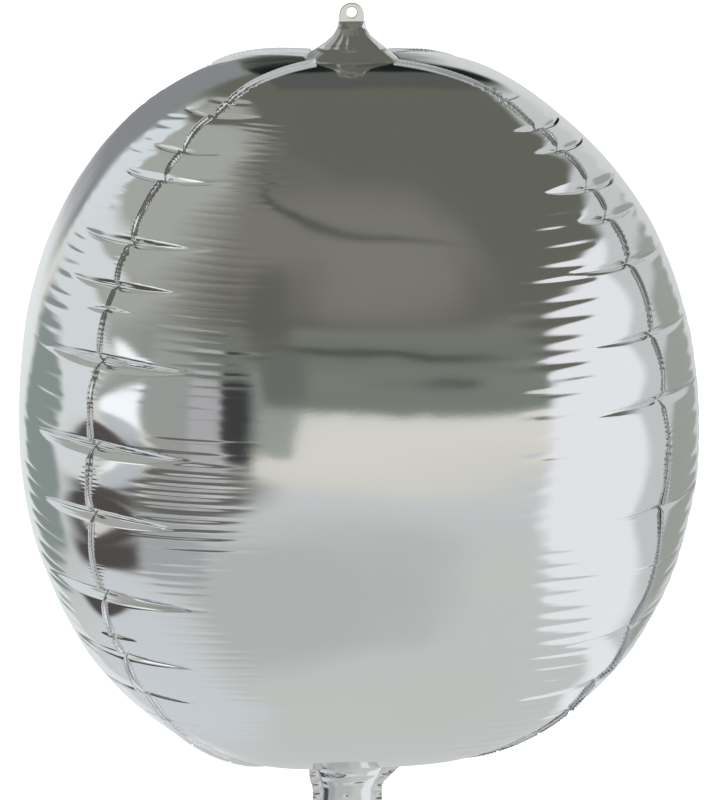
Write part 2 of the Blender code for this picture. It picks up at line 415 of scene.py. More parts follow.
@dataclass(frozen=True)
class BodyShape:
    """The smooth inflated body, whose cross-sections are rounded squares."""

    half_width: float = 0.192
    height_above: float = 0.213
    height_below: float = 0.2085
    fullness_above: float = 2.12
    fullness_below: float = 2.04
    squareness: float = 3.0
    squareness_top: float = 4.0
    squareness_bottom: float = 3.4
    top_hollow: float = 0.0072
    top_hollow_reach: float = 0.090
    bottom_hollow: float = 0.0085
    bottom_hollow_reach: float = 0.085
    tab_ring: float = 0.0255
    neck_ring: float = 0.0210
    gather_rise: float = 0.0202
    tab_hole_rise: float = 0.0049
    folded: tuple[float, float] = (math.radians(27), math.radians(148))
    level_samples: int = 4001

    def profile(self, polar: Points) -> tuple[Points, Points]:
        """Radius and height over the widest level.

        Args:
            polar: Polar angles.

        Returns:
            The radii and the heights.
        """
        above = polar <= math.pi / 2
        fullness = np.where(above, self.fullness_above, self.fullness_below)
        height = np.where(above, self.height_above, -self.height_below)
        hollow = np.where(above, self.top_hollow, -self.bottom_hollow)
        hollow_reach = np.where(above, self.top_hollow_reach, self.bottom_hollow_reach)
        radius = self.half_width * np.abs(np.sin(polar)) ** (2 / fullness)
        sunk = hollow * np.clip(1 - (radius / hollow_reach) ** 2, 0, 1) ** 2
        return radius, height * np.abs(np.cos(polar)) ** (2 / fullness) - sunk

    def reach(self, azimuth: Points, polar: Points) -> Points:
        """Distance from the axis to the film.

        Args:
            azimuth: Azimuths.
            polar: Polar angles.

        Returns:
            The distances.
        """
        pole = np.where(polar <= math.pi / 2, self.squareness_top, self.squareness_bottom)
        power = self.squareness + (pole - self.squareness) * np.cos(polar) ** 2
        return self.profile(polar)[0] * rounded_square(azimuth, power)

    @property
    def polar_top(self) -> float:
        """Polar angle of the ring where the gores end under the tab."""
        return math.asin((self.tab_ring / self.half_width) ** (self.fullness_above / 2))

    @property
    def polar_bottom(self) -> float:
        """Polar angle of the ring where the gores end over the neck."""
        return math.pi - math.asin((self.neck_ring / self.half_width) ** (self.fullness_below / 2))

    @property
    def fold_z(self) -> float:
        """Height of the fold line where the hang tab leaves the gathered film."""
        return -self.tab_hole_rise

    @property
    def top_z(self) -> float:
        """Height of the ring under the tab."""
        return self.fold_z - self.gather_rise

    @property
    def centre_z(self) -> float:
        """Height of the widest level."""
        return self.top_z - float(self.profile(np.array(self.polar_top))[1])

    @property
    def bottom_z(self) -> float:
        """Height of the ring over the neck."""
        return self.centre_z + float(self.profile(np.array(self.polar_bottom))[1])

    def point(self, azimuth: Points, polar: Points) -> Points:
        """Points of the smooth body.

        Args:
            azimuth: Azimuths.
            polar: Polar angles.

        Returns:
            An array of points.
        """
        reach = self.reach(azimuth, polar)
        height = self.profile(polar)[1] + self.centre_z
        return np.stack([reach * np.sin(azimuth), -reach * np.cos(azimuth), height], -1)

    def normal(self, azimuth: Points, polar: Points) -> Points:
        """Outward unit normals of the smooth body.

        Args:
            azimuth: Azimuths.
            polar: Polar angles.

        Returns:
            An array of normals.
        """
        step = 0.002
        across = self.point(azimuth + step, polar) - self.point(azimuth - step, polar)
        upward = self.point(azimuth, polar - step) - self.point(azimuth, polar + step)
        normal = np.cross(across, upward)
        return normal / np.linalg.norm(normal, axis=-1, keepdims=True)

    def levels(self, rows: int, fine: float = 0.0008, coarse: float = 0.0013) -> Points:
        """Polar angles of the mesh rows, from the bottom up, closest where the film is folded.

        Args:
            rows: Number of rows of faces.
            fine: Row height over the folded part.
            coarse: Row height near the two ends.

        Returns:
            One more angle than rows.
        """
        polar = np.linspace(self.polar_bottom, self.polar_top, self.level_samples)
        line = self.point(np.zeros_like(polar), polar)
        step = np.linalg.norm(np.diff(line, axis=0), axis=1)
        middle = (polar[1:] + polar[:-1]) / 2
        folded = (middle > self.folded[0]) & (middle < self.folded[1])
        count = np.concatenate([[0.0], np.cumsum(step / np.where(folded, fine, coarse))])
        return np.interp(np.arange(rows + 1) / rows * count[-1], count, polar)


# Folds of the film

@dataclass(frozen=True)
class Pucker:
    """A fold across a seam, open at the seam and closing to a tip on either side."""

    polar: float
    left: float
    right: float
    half: float
    steep: float = 0.78
    lean: float = 0.35
    taper: float = 2.5
    tip: float = 0.85
    streak: float = 0.12
    streaks: float = 2.5

    def inward(self, polar: Points, distance: Points, side: Side) -> Points:
        """How far the film lies in.

        Args:
            polar: Polar angles of the film's points.
            distance: Their distances from the seam.
            side: The side of the seam that they are on.

        Returns:
            Distances inward.
        """
        reach = self.left if side is Side.LEFT else self.right
        share = np.clip(distance / reach, 0, 1)
        half = np.maximum(self.half * (1 - share ** self.taper) ** self.tip, 1e-6)
        off = (polar - self.polar) * ARC - self.lean * self.half * share
        across = np.clip(off / half, -1, 1)
        wall = 1 - np.abs(across)
        fine = 1 + self.streak * np.cos(self.streaks * math.pi * across)
        return self.steep * half * wall * fine


@dataclass(frozen=True)
class Ripple:
    """A shallow spindle-shaped groove that doesn't touch the seam."""

    polar: float
    middle: float
    half_length: float
    half_height: float
    depth: float
    lean: float

    def inward(self, polar: Points, distance: Points) -> Points:
        """How far the film lies in.

        Args:
            polar: Polar angles of the film's points.
            distance: Their distances from the seam.

        Returns:
            Distances inward.
        """
        along = np.clip(1 - ((distance - self.middle) / self.half_length) ** 2, 0, 1)
        off = (polar - self.polar) * ARC - self.lean * (distance - self.middle)
        return self.depth * along * hump(off, 0.0, self.half_height)


@dataclass(frozen=True)
class RippleField:
    """How the ripples stand on one side of a seam, in metres."""

    spacing: tuple[float, float]
    height: tuple[float, float] = (0.0012, 0.0022)
    middle: tuple[float, float] = (0.050, 0.062)
    length: tuple[float, float] = (0.022, 0.034)
    depth: tuple[float, float] = (0.00022, 0.00045)
    lean: tuple[float, float] = (0.04, 0.20)
    span: tuple[float, float] = (math.radians(30), math.radians(146))
    narrowing: float = 0.8

    def lay(self, draw: np.random.Generator) -> list[Ripple]:
        """Lay the ripples from the top down.

        Args:
            draw: Source of the random sizes.

        Returns:
            The ripples.
        """
        ripples = []
        polar, end = self.span
        while polar < end:
            polar += draw.uniform(*self.spacing) / ARC
            scale = math.sin(polar) ** self.narrowing
            ripples.append(Ripple(
                polar=polar,
                middle=draw.uniform(*self.middle) * scale,
                half_length=draw.uniform(*self.length) * scale,
                half_height=draw.uniform(*self.height),
                depth=draw.uniform(*self.depth),
                lean=draw.uniform(*self.lean) * math.cos(polar),
            ))
        return ripples


@dataclass
class SeamFolds:
    """All the folds beside one seam."""

    table: tuple[tuple[float, float, float, float], ...]
    fields: dict[Side, RippleField]
    seed: int
    scallop_in: float = 0.0010
    scallop_out: float = 0.0019
    scallop_reach: float = 0.050
    scallop_span: float = math.radians(9)
    large_half: float = 0.0019
    full_half: float = 0.0028
    farthest: float = 0.100
    tooth_pitch: float = 0.0024
    tooth_depth: float = 0.00050
    tooth_reach: float = 0.0065
    tooth_span: tuple[float, float] = (0.20, math.pi - 0.3)
    puckers: list[Pucker] = field(default_factory=list)
    ripples: dict[Side, list[Ripple]] = field(default_factory=dict)

    def __post_init__(self) -> None:
        """Make the puckers of the table and lay the ripples."""
        draw = np.random.default_rng(self.seed)
        for polar, left, right, half in self.table:
            self.puckers.append(Pucker(math.radians(polar), left * MM, right * MM, half * MM))
        for side in Side:
            self.ripples[side] = self.fields[side].lay(draw)

    def inward(self, polar: Points, distance: Points, side: Side) -> Points:
        """How far the film lies in from the smooth body, below zero where it bulges out.

        Args:
            polar: Polar angles of the film's points.
            distance: Their distances from this seam.
            side: The side of the seam that they are on.

        Returns:
            Distances inward.
        """
        total = self._teeth(polar, distance)
        total += self.scallop(polar) * np.clip(1 - distance / self.scallop_reach, 0, 1) ** 2
        near = distance < self.farthest
        some_polar, some_distance = polar[near], distance[near]
        for fold in self.puckers:
            total[near] += fold.inward(some_polar, some_distance, side)
        for ripple in self.ripples[side]:
            total[near] += ripple.inward(some_polar, some_distance)
        return total

    def scallop(self, polar: Points) -> Points:
        """Pull-in of the seam line: inward at the large puckers, outward between them.

        Args:
            polar: Polar angles along the seam.

        Returns:
            Distances inward.
        """
        large = [fold.polar for fold in self.puckers if fold.half > self.large_half]
        wave = np.zeros_like(polar)
        for upper, lower in zip(large, large[1:]):
            share = np.clip((polar - upper) / (lower - upper), 0, 1)
            size = min(1.0, (lower - upper) / self.scallop_span)
            rise = (self.scallop_in + self.scallop_out) * size
            inside = (polar >= upper) & (polar < lower)
            wave += np.where(inside, self.scallop_in - rise * np.sin(math.pi * share), 0.0)
        above = (polar < large[0]) * hump(polar, large[0], self.scallop_span)
        below = (polar >= large[-1]) * hump(polar, large[-1], self.scallop_span)
        return wave + self.scallop_in * (above + below)

    def closeness(self, polar: Points, spread: float) -> Points:
        """How near each level is to a large pucker.

        Args:
            polar: Polar angles along the seam.
            spread: How far a pucker counts, in half heights of it.

        Returns:
            Shares: 1 at a pucker's middle and 0 past its spread.
        """
        near = np.zeros_like(polar)
        for fold in self.puckers:
            size = min(1.0, fold.half / self.full_half)
            near = np.maximum(near, size * hump(polar, fold.polar, spread * fold.half / ARC))
        return near

    def _teeth(self, polar: Points, distance: Points) -> Points:
        """Fine crimps that the heat seal leaves right beside the seam.

        Args:
            polar: Polar angles of the film's points.
            distance: Their distances from the seam.

        Returns:
            Distances inward.
        """
        turn = polar * ARC / self.tooth_pitch + 0.9 * np.sin(polar * 37 + self.seed)
        strength = 0.5 + 0.5 * np.sin(polar * 23 + 2.1 * self.seed)
        fade = np.clip(1 - distance / (self.tooth_reach * (0.5 + 0.6 * strength)), 0, 1)
        upper, lower = self.tooth_span
        ends = np.clip((polar - upper) / 0.1, 0, 1) * np.clip((lower - polar) / 0.1, 0, 1)
        return self.tooth_depth * (0.4 + strength) * zigzag(turn) * fade * ends


# Puckers from the top down: polar angle in degrees, then in millimetres the reach to the
# left of the seam, the reach to its right and half the height at the seam
FRONT_LEFT_PUCKERS = (
    (26.0, 20, 18, 1.2),
    (29.5, 30, 27, 2.3),
    (37.6, 28, 25, 2.0),
    (43.2, 50, 37, 2.8),
    (54.3, 50, 46, 3.2),
    (61.2, 43, 40, 2.7),
    (64.9, 16, 16, 1.8),
    (72.2, 51, 55, 3.9),
    (84.1, 56, 55, 4.0),
    (93.1, 49, 50, 3.4),
    (105.6, 60, 57, 4.0),
    (112.7, 12, 19, 1.8),
    (117.1, 55, 48, 2.4),
    (125.7, 50, 40, 2.0),
    (132.6, 20, 30, 1.3),
    (141.0, 16, 18, 1.0),
    (151.0, 12, 13, 0.8),
)
FRONT_RIGHT_PUCKERS = (
    (26.5, 16, 20, 1.2),
    (33.6, 20, 50, 2.6),
    (38.5, 20, 50, 2.6),
    (46.0, 35, 52, 3.8),
    (51.5, 22, 40, 3.5),
    (59.2, 45, 60, 3.2),
    (70.2, 43, 60, 2.6),
    (79.7, 54, 60, 3.5),
    (94.6, 52, 60, 2.0),
    (103.6, 46, 30, 1.2),
    (114.9, 46, 45, 2.0),
    (126.5, 60, 34, 2.4),
    (134.5, 25, 20, 1.4),
    (142.0, 16, 16, 1.0),
    (151.0, 12, 12, 0.8),
)
BACK_RIGHT_PUCKERS = (
    (25.5, 18, 18, 1.2),
    (31.5, 30, 26, 2.2),
    (37.0, 26, 34, 2.4),
    (45.0, 44, 36, 3.0),
    (53.5, 42, 48, 3.1),
    (62.0, 48, 40, 3.0),
    (71.5, 50, 52, 3.6),
    (82.5, 55, 50, 3.8),
    (92.0, 46, 54, 3.2),
    (104.5, 55, 48, 3.6),
    (114.0, 44, 50, 2.6),
    (124.5, 42, 38, 2.3),
    (133.5, 24, 28, 1.5),
    (141.5, 16, 16, 1.0),
    (150.0, 12, 12, 0.8),
)
BACK_LEFT_PUCKERS = (
    (27.0, 18, 18, 1.3),
    (32.5, 24, 30, 2.3),
    (39.0, 34, 24, 2.3),
    (46.5, 38, 46, 3.1),
    (54.5, 46, 40, 3.0),
    (61.5, 38, 46, 2.8),
    (70.0, 52, 48, 3.7),
    (80.5, 48, 56, 3.9),
    (93.5, 56, 46, 3.3),
    (102.5, 46, 52, 3.2),
    (115.5, 52, 46, 2.7),
    (125.0, 36, 42, 2.2),
    (132.0, 26, 22, 1.6),
    (140.5, 16, 16, 1.0),
    (151.0, 12, 12, 0.8),
)

CLOSE_RIPPLES = RippleField(
    spacing=(0.0042, 0.0064), height=(0.0010, 0.0017), middle=(0.052, 0.064),
    length=(0.026, 0.038), depth=(0.00010, 0.00026))
WIDE_RIPPLES = RippleField(
    spacing=(0.0070, 0.0116), height=(0.0022, 0.0042), depth=(0.0003, 0.0006))
LONG_RIPPLES = RippleField(
    spacing=(0.0080, 0.0130), height=(0.0026, 0.0050), length=(0.030, 0.044),
    depth=(0.0004, 0.0008))

FOLDS = {
    Seam.FRONT_LEFT: SeamFolds(
        FRONT_LEFT_PUCKERS, {Side.LEFT: WIDE_RIPPLES, Side.RIGHT: CLOSE_RIPPLES}, 11),
    Seam.FRONT_RIGHT: SeamFolds(
        FRONT_RIGHT_PUCKERS, {Side.LEFT: WIDE_RIPPLES, Side.RIGHT: LONG_RIPPLES}, 23),
    Seam.BACK_RIGHT: SeamFolds(
        BACK_RIGHT_PUCKERS, {Side.LEFT: LONG_RIPPLES, Side.RIGHT: CLOSE_RIPPLES}, 37),
    Seam.BACK_LEFT: SeamFolds(
        BACK_LEFT_PUCKERS, {Side.LEFT: CLOSE_RIPPLES, Side.RIGHT: WIDE_RIPPLES}, 41),
}


@dataclass(frozen=True)
class Gore:
    """One gore of film between two seams."""

    name: str
    middle: float
    left: Seam
    right: Seam
    columns: int = 68
    rows: int = 684
    edge_gap: float = 0.00015
    thickness: float = 0.0003
    cut_size: tuple[float, float] = (0.325, 0.600)
    cut_area: float = 0.150
    # Columns from a seam to the gore's middle: (number, place from 0 to 1)
    column_places: tuple[tuple[int, float], ...] = (
        (0, 0.0), (2, 0.0075), (4, 0.022), (6, 0.044), (8, 0.074), (10, 0.111), (24, 0.457),
        (34, 1.0),
    )
    # Long waves: (height, turns down, turns across, shift by the gore's azimuth)
    waves: tuple[tuple[float, float, float, float], ...] = (
        (0.00025, 11, 3, 1), (0.00018, 19, -5, 2),
    )
    ruffle: float = 0.00010

    @property
    def spread(self) -> Points:
        """Places of the columns, closest by the seams.

        Returns:
            One place more than columns, from -1 to 1.
        """
        numbers, places = zip(*self.column_places)
        side = np.interp(np.arange(self.columns // 2 + 1), numbers, places)
        return np.concatenate([side - 1, (1 - side[::-1])[1:]])

    def build(self, shape: BodyShape) -> bpy.types.Object:
        """Model the gore.

        Args:
            shape: The smooth body.

        Returns:
            The gore as a thin closed wall.
        """
        places = self.spread
        levels = shape.levels(self.rows)

        def surface(across: Points, up: Points) -> Points:
            spread = places[across.astype(int)]
            polar = levels[up.astype(int)]
            corner = shape.reach(np.full_like(polar, math.pi / 4), polar)
            half = math.pi / 4 - self.edge_gap / corner
            azimuth = self.middle + half * spread
            away_left = half * (1 + spread) * corner
            away_right = half * (1 - spread) * corner
            inward = (FOLDS[self.left].inward(polar, away_left, Side.RIGHT)
                      + FOLDS[self.right].inward(polar, away_right, Side.LEFT)
                      + self.slack(azimuth - self.middle, polar))
            return shape.point(azimuth, polar) - shape.normal(azimuth, polar) * inward[:, None]

        gore = film_grid(self.name + "_film", self.columns, self.rows, surface)
        apply_modifier(gore, "SOLIDIFY", thickness=self.thickness, offset=-1.0)
        return gore

    def slack(self, angle: Points, polar: Points) -> Points:
        """Long soft waves of the panel.

        Args:
            angle: Azimuths from the gore's middle.
            polar: Polar angles.

        Returns:
            Distances inward.
        """
        wave = self.ruffle * np.sin(polar * 31 + 8 * angle * np.sin(polar * 3))
        for height, down, across, shift in self.waves:
            wave += height * np.sin(polar * down + across * angle + shift * self.middle)
        return wave * np.sin(polar) ** 2


@dataclass(frozen=True)
class SeamStrip:
    """The sealed strip that stands out along one seam."""

    seam: Seam
    lean: float
    crimped: tuple[tuple[float, float], ...]
    columns: int = 5
    rows: int = 1040
    width: float = 0.0026
    narrowed: float = 0.60
    root: float = 0.0006
    thickness: float = 0.00025
    crimp_pitch: float = 0.0023
    crimp: float = 0.00050
    cup: float = 0.00025
    least_strength: float = 0.16
    flutter: float = math.radians(16)
    tooth_share: float = 0.22
    narrowed_spread: float = 1.7

    def build(self, shape: BodyShape) -> bpy.types.Object:
        """Model the strip.

        Args:
            shape: The smooth body.

        Returns:
            The strip as a thin closed wall.
        """
        folds = FOLDS[self.seam]
        azimuth = self.seam.azimuth

        def surface(across: Points, up: Points) -> Points:
            share = across / self.columns
            polar = shape.polar_bottom + (shape.polar_top - shape.polar_bottom) * up / self.rows
            here = np.full_like(polar, azimuth)
            arc = polar * ARC
            seed = folds.seed
            strength = self._strength(polar)
            tilt = math.radians(self.lean) * (0.8 + 0.5 * np.sin(arc * 41 + seed))
            tilt += self.flutter * strength * np.sin(arc * 210 + 1.3 * seed)
            wide = self.width * (1 - self.narrowed * folds.closeness(polar, self.narrowed_spread))
            tooth = zigzag(arc / self.crimp_pitch + 0.6 * np.sin(arc * 150 + seed))
            wide *= 1 + self.tooth_share * strength * tooth
            out = share * (wide + self.root) - self.root
            crimp = (self.crimp * strength * tooth * share
                     + self.cup * np.sin(math.pi * share) * np.sign(self.lean))
            normal = shape.normal(here, polar)
            sideways = np.stack([np.cos(here), np.sin(here), np.zeros_like(here)], -1)
            start = folds.inward(polar, np.zeros_like(polar), Side.LEFT)
            proud = out * np.cos(tilt) - start
            aside = np.maximum(out, 0) * np.sin(tilt) + crimp
            return shape.point(here, polar) + normal * proud[:, None] + sideways * aside[:, None]

        strip = film_grid(self.seam.node + "_strip", self.columns, self.rows, surface)
        apply_modifier(strip, "SOLIDIFY", thickness=self.thickness, offset=0.0)
        return strip

    def _strength(self, polar: Points) -> Points:
        """How strongly each level is crimped.

        Args:
            polar: Polar angles along the seam.

        Returns:
            Shares, from the least one up to 1 in the crimped spans.
        """
        strength = self.least_strength + np.zeros_like(polar)
        for upper, lower in self.crimped:
            middle, half = math.radians((upper + lower) / 2), math.radians((lower - upper) / 2)
            strength = np.maximum(strength, hump(polar, middle, half * 1.15) ** 0.35)
        return strength


@dataclass
class FilmBody:
    """The body: four gores of film and the sealed strips between them."""

    shape: BodyShape
    gores: tuple[Gore, ...] = (
        Gore("gore_front", 0.0, Seam.FRONT_LEFT, Seam.FRONT_RIGHT),
        Gore("gore_right", math.radians(90), Seam.FRONT_RIGHT, Seam.BACK_RIGHT),
        Gore("gore_back", math.radians(180), Seam.BACK_RIGHT, Seam.BACK_LEFT),
        Gore("gore_left", math.radians(270), Seam.BACK_LEFT, Seam.FRONT_LEFT),
    )
    strips: tuple[SeamStrip, ...] = (
        SeamStrip(Seam.FRONT_RIGHT, -20.0, ((28, 42), (82, 97), (118, 136)), width=0.0021),
        SeamStrip(Seam.BACK_RIGHT, 52.0, ((34, 44), (64, 80), (96, 112))),
        SeamStrip(Seam.BACK_LEFT, -12.0, ((40, 52), (72, 92), (118, 130))),
        SeamStrip(Seam.FRONT_LEFT, -3.0, ((34, 44), (46, 53), (74, 82), (86, 92), (107, 124))),
    )

    def build(self, foil: bpy.types.Material, seal: bpy.types.Material) -> None:
        """Model and dress the gores and the strips.

        Args:
            foil: Material of the gores.
            seal: Material of the strips.
        """
        for gore in self.gores:
            film = dress(gore.build(self.shape), foil, Slot.FOIL, gore.name)
        for strip in self.strips:
            dress(strip.build(self.shape), seal, Slot.SEAL, strip.seam.node)


# Hang tab

@dataclass
class HangTab:
    """The flat tab with its punched hole, over the film gathered up to it."""

    shape: BodyShape
    half_width: float = 0.0070
    height: float = 0.0105
    thickness: float = 0.0011
    root: float = 0.0010
    edge: float = 0.00025
    hole_radius: float = 0.0029
    hole_rise: float = 0.0002
    around: int = 192
    columns: int = 160
    rows: int = 60
    wall: float = 0.0004
    seat: float = 0.0004
    blur: float = 0.05
    pleat_depth: float = 0.055
    pleat_fan: float = 1.5
    corner_ridge: float = 0.0009
    corner_width: float = 7.0
    crease_depth: float = 0.0006
    crease_place: float = 0.29
    crease_half: float = 0.07
    # Gathered film from its base up: (share of the rise, half width, half depth, squareness)
    sections: tuple[tuple[float, float, float, float], ...] = (
        (0.00, 1.010, 1.01, 3.9),
        (0.10, 0.915, 0.84, 3.4),
        (0.21, 0.805, 0.66, 3.0),
        (0.40, 0.610, 0.40, 2.5),
        (0.61, 0.410, 0.18, 2.2),
        (0.82, 0.305, 0.07, 2.0),
        (1.00, 0.285, 0.03, 2.0),
    )
    # Pleats: (angle in degrees from the right over the back, width in degrees, strength)
    pleats: tuple[tuple[float, float, float], ...] = (
        (252, 7, 1.0), (236, 5, 0.6), (266, 4, 0.5), (284, 8, 0.8), (300, 5, 0.9),
        (18, 9, 0.7), (340, 8, 0.6), (64, 6, 0.8), (80, 5, 0.5), (98, 8, 1.0), (121, 6, 0.7),
        (165, 9, 0.8), (198, 7, 0.6),
    )

    def build(self, foil: bpy.types.Material) -> None:
        """Model the gathered film and the tab, join them and dress the result.

        Args:
            foil: Their material.
        """
        gather = self._gather()
        plate = self._plate()
        pick(gather, plate)
        bpy.ops.object.join()
        gather.name = "hang_tab_film"
        gather.data.name = gather.name
        dress(gather, foil, Slot.FOIL, "hang_tab")

    def _gather(self) -> bpy.types.Object:
        """Model the film drawn up from the square ring of the gores to the fold line.

        Returns:
            The gathered film as a thin wall.
        """
        rise, width, depth, squareness = zip(*self.sections)
        base, top = self.shape.top_z - self.seat, self.shape.fold_z

        def surface(across: Points, up: Points) -> Points:
            share = up / self.rows
            angle = -2 * math.pi * across / self.columns
            power = flow(share, rise, squareness, self.blur)
            ring = rounded_square(angle, power)
            swell = np.abs(np.sin(math.pi * np.clip(share * 1.15, 0, 1))) ** 0.8
            turned = np.degrees(angle) % 360
            for middle, wide, strength in self.pleats:
                off = (turned - middle + 180) % 360 - 180
                pleat = np.exp(-(off / (wide * (self.pleat_fan - share))) ** 2)
                ring = ring * (1 - self.pleat_depth * strength * swell * pleat)
            x = ring * self.shape.tab_ring * flow(share, rise, width, self.blur) * np.cos(angle)
            y = ring * self.shape.tab_ring * flow(share, rise, depth, self.blur) * np.sin(angle)
            corner = hump((turned % 90) - 45, 0.0, self.corner_width)
            ridge = self.corner_ridge * (1 - share) * corner
            length = np.hypot(x, y) + 1e-9
            crease = self.crease_depth * hump(share, self.crease_place, self.crease_half) * (y < 0)
            scale = 1 + (ridge - crease) / length
            return np.stack([x * scale, y * scale, base + (top - base) * share], -1)

        gather = film_grid("tab_gather", self.columns, self.rows, surface)
        apply_modifier(gather, "WELD", merge_threshold=0.00002)
        apply_modifier(gather, "SOLIDIFY", thickness=self.wall, offset=-1.0)
        return gather

    def _outline(self, angle: Points) -> Points:
        """Distance from the hole's middle to the tab's outline at angles from the right.

        Args:
            angle: Angles in radians, in the tab's plane.

        Returns:
            The distances.
        """
        fold = self.shape.fold_z
        middle = fold + self.height - self.half_width
        aside, rise = np.cos(angle), np.sin(angle)
        ahead = (self.hole_rise - middle) * rise
        square = (self.hole_rise - middle) ** 2 - self.half_width ** 2
        round_top = np.sqrt(ahead ** 2 - square) - ahead
        side = self.half_width / np.maximum(np.abs(aside), 1e-6)
        foot = (self.hole_rise - fold + self.root) / np.maximum(-rise, 1e-6)
        on_top = self.hole_rise + round_top * rise >= middle
        return np.where(on_top, round_top, np.minimum(side, foot))

    def _plate(self) -> bpy.types.Object:
        """Model the flat tab with a round top, as one closed loop of film round its hole.

        Returns:
            The tab.
        """
        half, edge = self.thickness / 2, self.edge
        # From the hole's front edge outwards and back: (on the outline, step inwards, forwards)
        rim = ((2.2 * edge, half), (edge, half), (0.5 * edge, 0.87 * half), (0.0, half - edge),
               (0.0, edge - half), (0.5 * edge, -0.87 * half), (edge, -half), (2.2 * edge, -half))
        loop = [(1.0, inwards, forwards) for inwards, forwards in rim]
        loop += [(0.0, -inwards, forwards) for inwards, forwards in reversed(rim)]
        share, inwards, forwards = (np.array(column) for column in zip(*loop, loop[0]))

        def surface(across: Points, up: Points) -> Points:
            angle = 2 * math.pi * (across / self.around % 1.0)
            place = up.astype(int)
            reach = self.hole_radius + (self._outline(angle) - self.hole_radius) * share[place]
            reach = reach - inwards[place]
            x, z = reach * np.cos(angle), self.hole_rise + reach * np.sin(angle)
            return np.stack([x, -forwards[place], z], -1)

        plate = film_grid("tab_plate", self.around, len(loop), surface)
        apply_modifier(plate, "WELD", merge_threshold=0.00001)
        pick(plate)
        bpy.ops.object.mode_set(mode="EDIT")
        bpy.ops.mesh.select_all(action="SELECT")
        bpy.ops.mesh.normals_make_consistent(inside=False)
        bpy.ops.object.mode_set(mode="OBJECT")
        return plate


# Inflation neck

